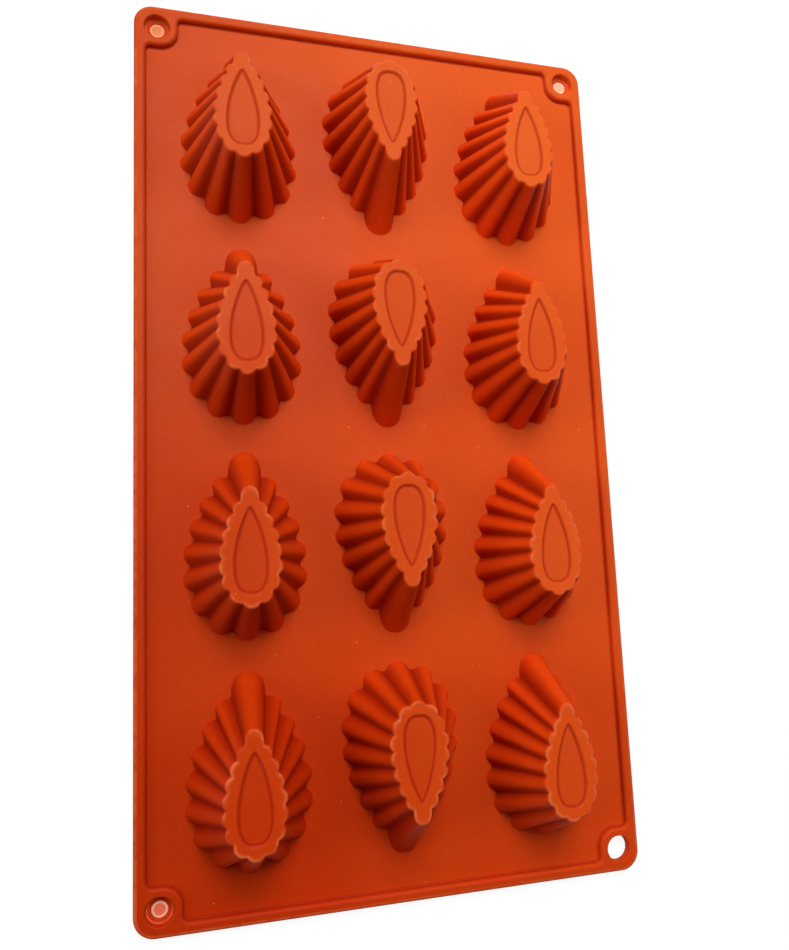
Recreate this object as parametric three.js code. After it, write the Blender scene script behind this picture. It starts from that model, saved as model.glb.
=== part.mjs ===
// Silicone flower cake mould: fluted teardrop cups in rows on one flat tray.
// It lies pouring face down, as it does on a table between uses. The cups stand up along +Z,
// the long side runs along Y, and the origin is on the table under the tray's middle.
// All lengths are millimetres.

import * as THREE from 'three';

// Cup at the web, seen from above: a teardrop through the crests of its flutes
const BASE_TIP = 30.1;
const BASE_ROUND = 30.3;
const BASE_HALF_WIDTH = 19.6;
const BASE_FLUTE_DEPTH = 2.2;
const BASE_TIP_FLUTE_WIDTH = 10.4;

// Cup at its crown, measured from the same centre
const CROWN_TIP = 15.5;
const CROWN_ROUND = 20.2;
const CROWN_HALF_WIDTH = 9.1;
const CROWN_FLUTE_DEPTH = 0.9;
const CROWN_TIP_FLUTE_WIDTH = 5.4;

// Cup wall, and the crown that closes it
const CUP_HEIGHT = 23.5;
const CUP_WALL = 1.5;
const CROWN_THICKNESS = 1.5;

// Smooth floor panel let into the crown
const FLOOR_SIDE_BORDER = 4.4;
const FLOOR_ROUND_BORDER = 4.5;
const FLOOR_TIP_BORDER = 6.4;
const FLOOR_THICKNESS = 1.5;
const FLOOR_RECESS = 0.5;
const FLOOR_CLEARANCE = 0.3;

// Flutes on each side between the tip flute and the round-end flute.
// Each is wider than the one before it by the growth share.
const SIDE_FLUTES = 7;
const FLUTE_GROWTH = 0.03;

// Outline shapes: a low taper power draws the round end out, a low end power blunts it,
// and a high tip power squares the tip flute
const CUP_TAPER_POWER = 0.61;
const CUP_END_POWER = 1;
const FLOOR_TAPER_POWER = 0.95;
const FLOOR_END_POWER = 0.72;
const TIP_FLUTE_POWER = 2.4;

// Tray
const COLUMNS = 3;
const ROWS = 4;
const CUP_GAP = 9.6;
const EDGE_MARGIN = 14.8;
const WEB_THICKNESS = 1.5;
const CORNER_RADIUS = 6.5;

// Rim bead round the tray, and the corner pads that it runs into
const RIM_WIDTH = 3.6;
const RIM_RISE = 2.0;
const RIM_ROUND = 1.1;
const PAD_ROUND = 6.0;

// Corner holes: one goes right through, the others are closed by a thin disc set into the web
const HOLE_DIAMETER = 8.3;
const HOLE_EDGE = 3.35;
const PAD_WALL = 2.55;
const DISC_MARGIN = 1.75;
const DISC_THICKNESS = 0.5;
const DISC_DROP = 0.5;
const DISC_CLEARANCE = 0.3;

// Facet counts
const OUTER_FLUTE_STEPS = 4;
const INNER_FLUTE_STEPS = 2;
const OUTER_TIP_STEPS = 3;
const INNER_TIP_STEPS = 2;
const FLOOR_STEPS = 18;
const TEARDROP_STEPS = 360;
const CORNER_STEPS = 6;
const HOLE_STEPS = 24;

// Sizes worked out from the ones above
const COLUMN_PITCH = 2 * BASE_HALF_WIDTH + CUP_GAP;
const ROW_PITCH = BASE_TIP + BASE_ROUND + CUP_GAP;
const CUP_CENTRE_SHIFT = (BASE_ROUND - BASE_TIP) / 2;
const TRAY_WIDTH = (COLUMNS - 1) * COLUMN_PITCH + 2 * (BASE_HALF_WIDTH + EDGE_MARGIN);
const TRAY_LENGTH = ROWS * ROW_PITCH - CUP_GAP + 2 * EDGE_MARGIN;
const CROWN_TOP = WEB_THICKNESS + CUP_HEIGHT;
const HOLE_RADIUS = HOLE_DIAMETER / 2;
const HOLE_INSET = HOLE_EDGE + HOLE_RADIUS;
const PAD_SIZE = HOLE_INSET + HOLE_RADIUS + PAD_WALL;
const DISC_RADIUS = HOLE_RADIUS - DISC_MARGIN;

const TERRACOTTA = 0xc4502a;
const CROWN_ORANGE = 0xd65f35;
const FLOOR_ORANGE = 0xc24c26;
const DISC_SALMON = 0xf0a184;

function silicone(colour) {
  return new THREE.MeshStandardMaterial({ color: colour, roughness: 0.55, metalness: 0 });
}

// One side of a smooth teardrop, from its tip on +Y round the +X side to its round end
function teardropSide(tip, round, halfWidth, taper, end, steps) {
  const swell = (u) => Math.sin(u) ** end * Math.sin(u / 2) ** taper;
  const widest = swell(Math.acos(-taper / (2 * end + taper)));
  const side = [];
  for (let i = 0; i <= steps; i += 1) {
    const u = (Math.PI * i) / steps;
    const x = (halfWidth * swell(u)) / widest;
    const y = (tip - round) / 2 + ((tip + round) / 2) * Math.cos(u);
    side.push(new THREE.Vector2(i === steps ? 0 : x, y));
  }
  return side;
}

// Outward unit normals of a side that runs from its tip to its round end
function sideNormals(side) {
  return side.map((point, i) => {
    const before = side[Math.max(i - 1, 0)];
    const after = side[Math.min(i + 1, side.length - 1)];
    const along = after.clone().sub(before).normalize();
    return new THREE.Vector2(-along.y, along.x);
  });
}

// The line along the bottoms of the flutes, from the tip flute's edge to the round end,
// with its normals and the distance walked to each point
function valleyLine(level) {
  const { tip, round, halfWidth } = level;
  const crest = teardropSide(tip, round, halfWidth, CUP_TAPER_POWER, CUP_END_POWER, TEARDROP_STEPS);
  const normals = sideNormals(crest);
  const line = [];
  crest.forEach((point, i) => {
    const place = point.clone().addScaledVector(normals[i], -level.fluteDepth);
    const pastTipFlute = line.length > 0 || place.x >= level.tipFluteWidth / 2;
    if (!pastTipFlute) return;
    const last = line[line.length - 1];
    const walked = last ? last.walked + last.place.distanceTo(place) : 0;
    line.push({ place, normal: normals[i], walked });
  });
  return line;
}

function walkTo(line, distance) {
  const next = line.findIndex((step) => step.walked >= distance);
  if (next < 0) return line[line.length - 1];
  if (next === 0) return line[0];
  const a = line[next - 1];
  const b = line[next];
  const share = (distance - a.walked) / (b.walked - a.walked);
  return {
    place: a.place.clone().lerp(b.place, share),
    normal: a.normal.clone().lerp(b.normal, share).normalize(),
  };
}

// One side of the fluted outline: half the tip flute, the side flutes and half the round-end flute.
// Each point keeps its outward normal, so that the inner face can be set in by the wall.
function flutedSide(level, fluteSteps, tipSteps) {
  const line = valleyLine(level);
  const first = line[0];
  const side = [];

  const tipReach = level.tip - first.place.y;
  for (let i = 0; i < tipSteps; i += 1) {
    const turn = (Math.PI / 2) * (i / tipSteps);
    const x = first.place.x * Math.sin(turn) ** (2 / TIP_FLUTE_POWER);
    const y = first.place.y + tipReach * Math.cos(turn) ** (2 / TIP_FLUTE_POWER);
    const normal = new THREE.Vector2(0, 1).lerp(first.normal, i / tipSteps).normalize();
    side.push({ point: new THREE.Vector2(x, y), normal });
  }

  const shares = [];
  for (let k = 0; k <= SIDE_FLUTES; k += 1) {
    const share = 1 + FLUTE_GROWTH * k;
    shares.push(k < SIDE_FLUTES ? share : share / 2);
  }
  const total = shares.reduce((sum, share) => sum + share, 0);
  const length = line[line.length - 1].walked;
  let start = 0;
  shares.forEach((share, k) => {
    const width = (length * share) / total;
    const lastFlute = k === SIDE_FLUTES;
    const steps = lastFlute ? fluteSteps / 2 : fluteSteps;
    for (let i = 0; i < steps; i += 1) {
      const across = lastFlute ? i / steps - 1 : (2 * i) / steps - 1;
      const at = walkTo(line, start + (width * i) / steps);
      const bulge = level.fluteDepth * (1 - across * across);
      side.push({ point: at.place.clone().addScaledVector(at.normal, bulge), normal: at.normal });
    }
    start += width;
  });
  side.push({ point: new THREE.Vector2(0, -level.round), normal: new THREE.Vector2(0, -1) });
  return side;
}

// The whole outline, anticlockwise from the tip, from one side and its mirror image
function closeOutline(side) {
  const mirrored = side.map(({ point, normal }) => ({
    point: new THREE.Vector2(-point.x, point.y),
    normal: new THREE.Vector2(-normal.x, normal.y),
  }));
  return [...mirrored, ...side.slice(1, -1).reverse()];
}

const BASE_LEVEL = {
  tip: BASE_TIP,
  round: BASE_ROUND,
  halfWidth: BASE_HALF_WIDTH,
  fluteDepth: BASE_FLUTE_DEPTH,
  tipFluteWidth: BASE_TIP_FLUTE_WIDTH,
};
const CROWN_LEVEL = {
  tip: CROWN_TIP,
  round: CROWN_ROUND,
  halfWidth: CROWN_HALF_WIDTH,
  fluteDepth: CROWN_FLUTE_DEPTH,
  tipFluteWidth: CROWN_TIP_FLUTE_WIDTH,
};

// The flutes run straight from the base to the crown: a section at a height is a mix of the two,
// set in by the given distance
function cupSection(height, fluteSteps, tipSteps, setIn) {
  const rise = height / CUP_HEIGHT;
  const base = closeOutline(flutedSide(BASE_LEVEL, fluteSteps, tipSteps));
  const crown = closeOutline(flutedSide(CROWN_LEVEL, fluteSteps, tipSteps));
  return base.map((low, i) => {
    const high = crown[i];
    const normal = low.normal.clone().lerp(high.normal, rise).normalize();
    return low.point.clone().lerp(high.point, rise).addScaledVector(normal, -setIn);
  });
}

function cupInside(height) {
  return cupSection(height, INNER_FLUTE_STEPS, INNER_TIP_STEPS, CUP_WALL);
}

function floorOutline(clearance) {
  const side = teardropSide(
    CROWN_TIP - FLOOR_TIP_BORDER,
    CROWN_ROUND - FLOOR_ROUND_BORDER,
    CROWN_HALF_WIDTH - FLOOR_SIDE_BORDER,
    FLOOR_TAPER_POWER,
    FLOOR_END_POWER,
    FLOOR_STEPS,
  );
  const normals = sideNormals(side);
  normals[0].set(0, 1);
  normals[side.length - 1].set(0, -1);
  const widened = side.map((point, i) => ({
    point: point.clone().addScaledVector(normals[i], clearance),
    normal: normals[i],
  }));
  return closeOutline(widened).map(({ point }) => point);
}

// Collects triangles of a closed solid from level outlines
class SolidBuilder {
  constructor() {
    this.positions = [];
  }

  triangle(a, b, c) {
    this.positions.push(...a, ...b, ...c);
  }

  // Wall between two outlines of equal count. It faces outwards from anticlockwise outlines
  // when the second one is the higher, and inwards when it is the lower.
  wall(first, firstZ, second, secondZ) {
    first.forEach((point, i) => {
      const next = (i + 1) % first.length;
      const a = [point.x, point.y, firstZ];
      const b = [first[next].x, first[next].y, firstZ];
      const c = [second[next].x, second[next].y, secondZ];
      const d = [second[i].x, second[i].y, secondZ];
      this.triangle(a, b, c);
      this.triangle(a, c, d);
    });
  }

  // Level ring between an outer and an inner outline
  ring(outer, inner, z, facesUp) {
    const hole = inner.slice().reverse();
    const corners = [...outer, ...hole].map((point) => [point.x, point.y, z]);
    THREE.ShapeUtils.triangulateShape(outer.slice(), [hole]).forEach(([i, j, k]) => {
      if (facesUp) this.triangle(corners[i], corners[j], corners[k]);
      else this.triangle(corners[i], corners[k], corners[j]);
    });
  }

  geometry() {
    const geometry = new THREE.BufferGeometry();
    geometry.setAttribute('position', new THREE.Float32BufferAttribute(this.positions, 3));
    geometry.computeVertexNormals();
    return geometry;
  }
}

// Fluted wall with the flat crown ring that holds the floor panel. It stands on the web.
function cupShellGeometry() {
  const ringUnder = CUP_HEIGHT - CROWN_THICKNESS;
  const outerBase = cupSection(0, OUTER_FLUTE_STEPS, OUTER_TIP_STEPS, 0);
  const outerCrown = cupSection(CUP_HEIGHT, OUTER_FLUTE_STEPS, OUTER_TIP_STEPS, 0);
  const innerBase = cupInside(0);
  const innerCrown = cupInside(ringUnder);
  const opening = floorOutline(FLOOR_CLEARANCE);

  const shell = new SolidBuilder();
  shell.wall(outerBase, 0, outerCrown, CUP_HEIGHT);
  shell.ring(outerCrown, opening, CUP_HEIGHT, true);
  shell.wall(opening, CUP_HEIGHT, opening, ringUnder);
  shell.ring(innerCrown, opening, ringUnder, false);
  shell.wall(innerCrown, ringUnder, innerBase, 0);
  shell.ring(outerBase, innerBase, 0, false);
  return shell.geometry();
}

function plate(shape, thickness) {
  return new THREE.ExtrudeGeometry(shape, {
    depth: thickness,
    bevelEnabled: false,
    curveSegments: CORNER_STEPS,
  });
}

function floorGeometry() {
  return plate(new THREE.Shape(floorOutline(0)), FLOOR_THICKNESS);
}

function holePath(x, y, radius) {
  const points = [];
  for (let i = 0; i < HOLE_STEPS; i += 1) {
    const turn = (2 * Math.PI * i) / HOLE_STEPS;
    points.push(new THREE.Vector2(x + radius * Math.cos(turn), y + radius * Math.sin(turn)));
  }
  return new THREE.Path(points);
}

// Corner pad with its outer corner at the origin, reaching along +X and +Y
function padGeometry() {
  const outer = Math.min(CORNER_RADIUS, PAD_SIZE);
  const inner = Math.min(PAD_ROUND, PAD_SIZE - RIM_WIDTH);
  const shape = new THREE.Shape();
  shape.moveTo(outer, 0);
  shape.lineTo(PAD_SIZE, 0);
  shape.lineTo(PAD_SIZE, PAD_SIZE - inner);
  shape.absarc(PAD_SIZE - inner, PAD_SIZE - inner, inner, 0, Math.PI / 2, false);
  shape.lineTo(0, PAD_SIZE);
  shape.lineTo(0, outer);
  shape.absarc(outer, outer, outer, Math.PI, (3 * Math.PI) / 2, false);
  shape.holes.push(holePath(HOLE_INSET, HOLE_INSET, HOLE_RADIUS));
  return plate(shape, RIM_RISE);
}

// Straight stretch of the rim bead along Y, centred on its length, with its outer face at x = 0
function rimGeometry(length) {
  const round = Math.min(RIM_ROUND, RIM_RISE, RIM_WIDTH / 2);
  const section = new THREE.Shape();
  section.moveTo(0, 0);
  section.lineTo(RIM_WIDTH, 0);
  section.lineTo(RIM_WIDTH, RIM_RISE - round);
  section.absarc(RIM_WIDTH - round, RIM_RISE - round, round, 0, Math.PI / 2, false);
  section.lineTo(round, RIM_RISE);
  section.absarc(round, RIM_RISE - round, round, Math.PI / 2, Math.PI, false);
  section.lineTo(0, 0);
  const geometry = plate(section, length);
  geometry.rotateX(Math.PI / 2);
  geometry.translate(0, length / 2, 0);
  return geometry;
}

function cupPlaces() {
  const places = [];
  for (let row = 0; row < ROWS; row += 1) {
    for (let column = 0; column < COLUMNS; column += 1) {
      const turned = column % 2 === 1;
      const shift = turned ? -CUP_CENTRE_SHIFT : CUP_CENTRE_SHIFT;
      const x = (column - (COLUMNS - 1) / 2) * COLUMN_PITCH;
      const y = ((ROWS - 1) / 2 - row) * ROW_PITCH + shift;
      places.push({ x, y, turned, label: `r${row + 1}c${column + 1}` });
    }
  }
  return places;
}

// The tray's corners in turn from the near left one, with the quarter turn of each pad
function cornerPlaces() {
  const names = ['near_left', 'near_right', 'far_right', 'far_left'];
  return names.map((name, turn) => {
    const sideX = turn === 0 || turn === 3 ? -1 : 1;
    const sideY = turn < 2 ? -1 : 1;
    const corner = new THREE.Vector2((sideX * TRAY_WIDTH) / 2, (sideY * TRAY_LENGTH) / 2);
    const hole = new THREE.Vector2(corner.x - sideX * HOLE_INSET, corner.y - sideY * HOLE_INSET);
    return { name, corner, hole, angle: (turn * Math.PI) / 2, goesThrough: name === 'near_right' };
  });
}

// Flat sheet under everything, open below each cup and at the corner holes
function webGeometry() {
  const x = TRAY_WIDTH / 2;
  const y = TRAY_LENGTH / 2;
  const r = CORNER_RADIUS;
  const shape = new THREE.Shape();
  shape.moveTo(r - x, -y);
  shape.lineTo(x - r, -y);
  shape.absarc(x - r, r - y, r, -Math.PI / 2, 0, false);
  shape.lineTo(x, y - r);
  shape.absarc(x - r, y - r, r, 0, Math.PI / 2, false);
  shape.lineTo(r - x, y);
  shape.absarc(r - x, y - r, r, Math.PI / 2, Math.PI, false);
  shape.lineTo(-x, r - y);
  shape.absarc(r - x, r - y, r, Math.PI, (3 * Math.PI) / 2, false);

  const mouth = cupInside(0);
  cupPlaces().forEach((cup) => {
    const facing = cup.turned ? -1 : 1;
    const points = mouth.map((p) => new THREE.Vector2(cup.x + facing * p.x, cup.y + facing * p.y));
    shape.holes.push(new THREE.Path(points));
  });
  cornerPlaces().forEach((corner) => {
    const radius = corner.goesThrough ? HOLE_RADIUS : DISC_RADIUS + DISC_CLEARANCE;
    shape.holes.push(holePath(corner.hole.x, corner.hole.y, radius));
  });
  return plate(shape, WEB_THICKNESS);
}

function addMesh(group, name, geometry, colour) {
  const mesh = new THREE.Mesh(geometry, silicone(colour));
  mesh.name = name;
  group.add(mesh);
  return mesh;
}

function addRim(group) {
  const sideLength = TRAY_LENGTH - 2 * PAD_SIZE;
  const endLength = TRAY_WIDTH - 2 * PAD_SIZE;
  const runs = [
    { name: 'rim_left', length: sideLength, angle: 0, x: -TRAY_WIDTH / 2, y: 0 },
    { name: 'rim_right', length: sideLength, angle: Math.PI, x: TRAY_WIDTH / 2, y: 0 },
    { name: 'rim_near', length: endLength, angle: Math.PI / 2, x: 0, y: -TRAY_LENGTH / 2 },
    { name: 'rim_far', length: endLength, angle: -Math.PI / 2, x: 0, y: TRAY_LENGTH / 2 },
  ];
  runs.forEach((run) => {
    const mesh = addMesh(group, run.name, rimGeometry(run.length), TERRACOTTA);
    mesh.position.set(run.x, run.y, WEB_THICKNESS);
    mesh.rotation.z = run.angle;
  });
}

function addCorners(group) {
  cornerPlaces().forEach((place) => {
    const pad = addMesh(group, `corner_pad_${place.name}`, padGeometry(), TERRACOTTA);
    pad.position.set(place.corner.x, place.corner.y, WEB_THICKNESS);
    pad.rotation.z = place.angle;
    if (place.goesThrough) return;
    const round = new THREE.CylinderGeometry(DISC_RADIUS, DISC_RADIUS, DISC_THICKNESS, HOLE_STEPS);
    round.rotateX(Math.PI / 2);
    const disc = addMesh(group, `hole_disc_${place.name}`, round, DISC_SALMON);
    const discMiddle = WEB_THICKNESS - DISC_DROP - DISC_THICKNESS / 2;
    disc.position.set(place.hole.x, place.hole.y, discMiddle);
  });
}

function addCups(group) {
  cupPlaces().forEach((place) => {
    const cup = new THREE.Group();
    cup.position.set(place.x, place.y, 0);
    cup.rotation.z = place.turned ? Math.PI : 0;
    const shell = addMesh(cup, `cup_shell_${place.label}`, cupShellGeometry(), CROWN_ORANGE);
    shell.position.z = WEB_THICKNESS;
    const floor = addMesh(cup, `cup_floor_${place.label}`, floorGeometry(), FLOOR_ORANGE);
    floor.position.z = CROWN_TOP - FLOOR_RECESS - FLOOR_THICKNESS;
    group.add(cup);
  });
}

const mould = new THREE.Group();
mould.name = 'flower_cake_mould';
addMesh(mould, 'web_sheet', webGeometry(), TERRACOTTA);
addRim(mould);
addCorners(mould);
addCups(mould);

export default mould;
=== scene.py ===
"""Silicone flower cake mould: fluted teardrop cups on a flat tray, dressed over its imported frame.

Lengths are metres in the frame's own axes. The mould lies pouring face down, the cups stand up
along +Z and the long side runs along Y.
"""

import math

import bmesh
import bpy
from bpy.props import FloatProperty, FloatVectorProperty, IntProperty, PointerProperty
from mathutils import Matrix, Vector
from mathutils.geometry import delaunay_2d_cdt
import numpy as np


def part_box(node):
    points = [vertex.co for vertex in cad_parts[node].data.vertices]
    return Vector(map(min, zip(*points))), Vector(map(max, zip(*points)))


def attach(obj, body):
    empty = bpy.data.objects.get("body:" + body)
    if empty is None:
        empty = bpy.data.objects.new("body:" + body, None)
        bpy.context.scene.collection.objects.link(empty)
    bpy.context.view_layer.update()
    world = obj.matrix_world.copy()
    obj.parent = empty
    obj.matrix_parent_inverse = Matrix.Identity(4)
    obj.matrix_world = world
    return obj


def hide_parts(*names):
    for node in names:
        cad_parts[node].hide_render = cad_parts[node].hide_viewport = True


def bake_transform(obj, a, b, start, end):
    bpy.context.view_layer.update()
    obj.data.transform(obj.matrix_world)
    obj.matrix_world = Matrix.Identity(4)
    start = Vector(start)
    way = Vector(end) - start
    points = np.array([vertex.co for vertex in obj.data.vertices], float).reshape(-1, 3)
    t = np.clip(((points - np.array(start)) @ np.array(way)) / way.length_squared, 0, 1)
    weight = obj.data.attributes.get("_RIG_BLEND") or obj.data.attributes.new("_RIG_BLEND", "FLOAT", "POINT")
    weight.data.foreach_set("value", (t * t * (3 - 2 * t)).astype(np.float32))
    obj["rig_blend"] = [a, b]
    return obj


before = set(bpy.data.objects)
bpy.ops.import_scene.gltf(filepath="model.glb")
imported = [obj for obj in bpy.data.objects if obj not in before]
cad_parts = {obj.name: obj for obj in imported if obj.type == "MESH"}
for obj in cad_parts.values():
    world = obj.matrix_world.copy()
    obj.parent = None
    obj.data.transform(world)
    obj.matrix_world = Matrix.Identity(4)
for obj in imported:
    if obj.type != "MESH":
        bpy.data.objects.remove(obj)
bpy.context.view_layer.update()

bl_info = {
    "name": "Flower cake mould",
    "version": (1, 0, 0),
    "blender": (4, 5, 0),
    "location": "3D View > Sidebar > Mould",
    "description": "Makes the cups, tray, corner discs and stage of a silicone flower cake mould",
    "category": "Add Mesh",
}

MM = 0.001

# Levels that the frame fixes
WEB_LOW, WEB_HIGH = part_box("web_sheet")
WEB_TOP = WEB_HIGH.z
RIM_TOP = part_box("rim_left")[1].z
CROWN_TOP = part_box("cup_shell_r1c1")[1].z
PANEL_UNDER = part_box("cup_floor_r1c1")[0].z
PANEL_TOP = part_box("cup_floor_r1c1")[1].z
DISC_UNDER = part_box("hole_disc_near_left")[0].z
DISC_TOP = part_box("hole_disc_near_left")[1].z

# Width of the flat strip that keeps a round from shading the level face beside it
FLAT_STRIP = 0.2 * MM

# How finely the forms are cut
TEARDROP_STEPS = 360
WALL_ROWS = 12
LEVEL_ROWS = 3
CEILING_ROWS = 2
FUNNEL_ROWS = 2
CORNER_STEPS = 14
HOLE_STEPS = 72
# Steps of the rounds, from the rim's bead down to the smallest nooks
BEAD_STEPS = 7
CUP_EDGE_STEPS = 6
HOLLOW_STEPS = 5
EDGE_STEPS = 4
NOOK_STEPS = 3
# Rows of a slope, as shares of its width
SLOPE_PARTS = (0.0, 0.2, 0.4, 0.6, 0.8, 1.0)
# Height of a cup wall's lowest straight row, in radii of the fillet below it
FOOT_ROW = 3
# Rings of a profile's rows: on the fluted wall, on the floor panel's edge and at its middle
WALL_RING = 0.0
PANEL_RING = 1.0
MIDDLE_RING = 2.0
# Marks of a row where one finish runs into the next, and the painted shade at the wall's foot and
# on the web beside it
HALF_MARK = 0.5
FOOT_PAINTED_SHADE = 0.25
COLLAR_PAINTED_SHADE = 0.1
# A face has the mean of its points' marks, which is above this where all of them are marked
ALL_MARKED = 0.99
# Share by which steps crowd together in the valleys between flutes
VALLEY_CROWDING = 0.5
# Narrows a finger-shaped flute, and so widens the valleys beside it
FINGER_POWER = 1.5
# Counts of flutes above this lie on the cup's side, and the rest on its tip flute. It is a hair
# below 0, so that the first valley is on the side
FIRST_SIDE_FLUTE = -0.0001
# Points of a sweep that lie closer than this are one, in metres
SAME_POINT = 1e-6
# Closeness at which the triangulation joins points, in metres
SAME_CORNER = 1e-9
# Radius of the fill in a disc's middle, as a share of what the ring leaves, and height of the
# ring's foot, as a share of its rise
DISC_CORE = 0.4
DISC_RAMP = 0.3
# Output of the triangulation that leaves holes open
INSIDE_WITH_HOLES = 2
# Edges that turn more than this stay hard
HARD_ANGLE = math.radians(70)

# How fast painted light moves the silicone's colour to the right and to the far side and lightens it
# to the right, and how fast wear with painted highlight grows along its edges to the near side, each
# for a metre
PAINTED_LIGHT_ACROSS = 2.0
PAINTED_LIGHT_ALONG = 2.2
PAINTED_LIGHTNESS_ACROSS = 1.5
WEAR_AND_HIGHLIGHT_ALONG = -2.5
# How much of their marked edges is painted pale, as wear and painted highlight
CUP_WEAR_AND_HIGHLIGHT = 0.25
TRAY_WEAR_AND_HIGHLIGHT = 0.6
# Repeats of the silicone's patterns in a metre
CLOUD_SCALE = 11.0
MOTTLE_SCALE = 520.0
GRAIN_SCALE = 2400.0
WAVE_SCALE = 70.0
WEAR_AND_HIGHLIGHT_SCALE = 220.0
DUST_SCALE = 150.0
# How far the patterns move the fade, the lightness, the height, the roughness and the wear with
# painted highlight, and the least wear with highlight that they leave
CLOUD_SPREAD = 0.8
MOTTLE_SPREAD = 0.16
WAVE_SHARE = 2.2
HAZE_SPREAD = 0.22
WEAR_AND_HIGHLIGHT_SPREAD = 4.0
LEAST_WEAR_AND_HIGHLIGHT = 0.05
# Size of the largest speck of dust, the smallest as a share of it, the share of places that have
# none, and how upright the normal of a dusty face stands
DUST_SIZE = 0.34 * MM
SMALLEST_SPECK = 0.4
DUST_SPARSENESS = 0.96
DUST_UPRIGHT = 0.97
# Share of painted shade in creases, and what wear with painted highlight, dust and the panels' own
# skin do to the silicone's roughness, and the discs' roughness
PAINTED_SHADE_SHARE = 0.8
WEAR_AND_HIGHLIGHT_ROUGHNESS = 0.12
DUST_ROUGHNESS = 0.3
PANEL_ROUGHNESS = 0.04
DISC_ROUGHNESS = 0.5
# Optics of silicone, and the strength of its grain
SILICONE_IOR = 1.41
SILICONE_SPECULAR = 0.09
GRAIN_STRENGTH = 0.5

# Half of the studio floor's side in metres, its drop below the mould, its grey and its roughness
FLOOR_HALF = 2.0
FLOOR_DROP = 0.2 * MM
FLOOR_GREY = (0.85, 0.85, 0.85, 1)
FLOOR_ROUGHNESS = 0.9
# Glow with which the camera sees the floor, and its share against the lit floor
FLOOR_GLOW = 1.1
FLOOR_GLOW_SHARE = 0.8
WHITE = (1, 1, 1, 1)
# Nearest that the camera sees, in metres
CAMERA_NEAR = 0.01

CUP_LABELS = sorted(n[len("cup_shell_"):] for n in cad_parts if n.startswith("cup_shell_"))
CORNERS = ("near_left", "near_right", "far_right", "far_left")
# Which way each of these corners lies, in the same order
CORNER_SIGNS = ((-1, -1), (1, -1), (1, 1), (-1, 1))
CLOSED_CORNERS = [c for c in CORNERS if f"hole_disc_{c}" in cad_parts]


def length(name, description, millimetres):
    """A length property whose default is given in millimetres."""
    return FloatProperty(
        name=name, description=description, default=millimetres * MM, unit="LENGTH", precision=5
    )


def number(name, description, default):
    """A plain number property."""
    return FloatProperty(name=name, description=description, default=default)


def colour(name, description, default):
    """A colour property, in linear values."""
    return FloatVectorProperty(
        name=name, description=description, default=default, subtype="COLOR", size=3, min=0, max=1
    )


class CupSizes(bpy.types.PropertyGroup):
    """Sizes and rules of the cups' walls, crowns and floor panels"""

    base_tip: length("Base tip", "From the cup's middle to its tip at the web", 30.1)
    base_round: length("Base round end", "From the cup's middle to its round end at the web", 30.3)
    base_half_width: length("Base half width", "Half the width over the flutes at the web", 19.6)
    base_flute_depth: length("Base flute depth", "Depth of the flutes at the web", 2.45)
    base_tip_flute_width: length("Base tip flute", "Width of the tip flute at the web", 10.4)
    crown_tip: length("Crown tip", "From the cup's middle to its tip at the crown", 15.5)
    crown_round: length("Crown round end", "From the cup's middle to its round end at the crown", 20.2)
    crown_half_width: length("Crown half width", "Half the width over the flutes at the crown", 9.1)
    crown_flute_depth: length("Crown flute depth", "Depth of the flutes at the crown", 0.9)
    crown_tip_flute_width: length("Crown tip flute", "Width of the tip flute at the crown", 5.4)
    panel_tip_border: length("Panel tip border", "Crown left beyond the floor panel's tip", 6.4)
    panel_round_border: length("Panel round border", "Crown left beyond the panel's round end", 4.5)
    panel_side_border: length("Panel side border", "Crown left beside the floor panel", 4.4)
    wall: length("Wall", "Thickness of the fluted wall", 1.5)
    crown_thickness: length("Crown thickness", "Thickness of the crown ring", 1.5)
    base_fillet: length("Base fillet", "Fillet where the wall runs into the web", 0.3)
    crown_round_edge: length("Crown edge", "Round along the scalloped crown edge", 0.45)
    recess_slope: length("Recess slope", "Width of the slope from the crown down to the panel", 0.8)
    groove_width: length("Groove width", "Width of the groove along the floor panel's edge", 0.7)
    groove_depth: length("Groove depth", "Depth of the groove along the floor panel's edge", 0.06)
    groove_shade: number("Groove shade", "How much of its own red the groove takes", 0.65)
    panel_gap: length("Panel gap", "Hairline between the floor panel and the crown", 0.01)
    lip_round: length("Pouring lip", "Round along the lip that batter is poured over", 0.6)
    inside_fillet: length("Inside fillet", "Fillet between the inner wall and the crown", 1.0)
    collar: length("Collar", "Strip of web that goes with the cup when it flexes", 2.4)
    side_flutes: IntProperty(name="Side flutes", description="Flutes on each side", default=7, min=1)
    flute_steps: IntProperty(name="Flute steps", description="Facets across a flute", default=16, min=4)
    flute_growth: number("Flute growth", "How much wider each flute is than the one before", 0.03)
    base_valley_softness: number("Base softness", "How round the valleys at the web are, 0 to 1", 0.75)
    crown_valley_softness: number("Crown softness", "How round the crown's valleys are, 0 to 1", 0.4)
    crease_width: number("Crease width", "Share of a half flute that darkens towards its valley", 0.85)
    cup_taper: number("Cup taper", "A low power draws the cup's round end out", 0.61)
    cup_end: number("Cup end", "A low power blunts the cup's round end", 1.0)
    panel_taper: number("Panel taper", "A low power draws the panel's round end out", 0.95)
    panel_end: number("Panel end", "A low power blunts the panel's round end", 0.72)
    tip_power: number("Tip flute squareness", "A high power squares the tip flute", 2.4)


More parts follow.
